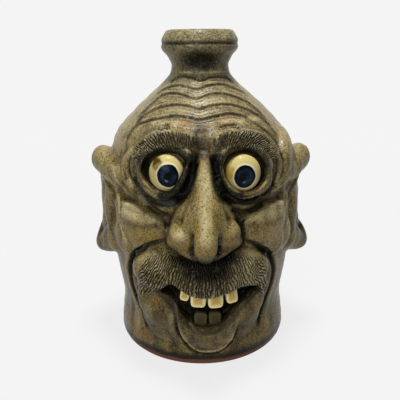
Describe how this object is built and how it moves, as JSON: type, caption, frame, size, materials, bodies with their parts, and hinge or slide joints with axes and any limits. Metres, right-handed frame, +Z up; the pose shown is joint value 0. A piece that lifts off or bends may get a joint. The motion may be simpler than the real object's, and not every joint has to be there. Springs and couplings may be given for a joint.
{
  "type": "face jug",
  "caption": "Stoneware jug with a narrow collared neck and a grotesque grinning face modelled on its front, set with white clay eyes and teeth.",
  "frame": {"origin": "centre of the flat underside, on the jug's axis", "axes": "+Z up the jug's axis, the face looks along -Y, +X to the right of someone looking at the face"},
  "size_m": [0.1795, 0.1782, 0.25],
  "materials": {
    "olive_glaze": "olive-brown ash glaze, semi-gloss, dark in the folds",
    "eye_glaze": "cream glaze stained amber, with a navy painted iris, glossy",
    "tooth_glaze": "cream glaze, yellow-brown in the middle, glossy"
  },
  "bodies": {
    "root": {"jug": "olive_glaze", "eye_left": "eye_glaze", "eye_right": "eye_glaze", "tooth_upper_1": "tooth_glaze", "tooth_upper_2": "tooth_glaze", "tooth_upper_3": "tooth_glaze", "tooth_upper_4": "tooth_glaze", "tooth_lower_1": "tooth_glaze", "tooth_lower_2": "tooth_glaze"}
  },
  "joints": []
}
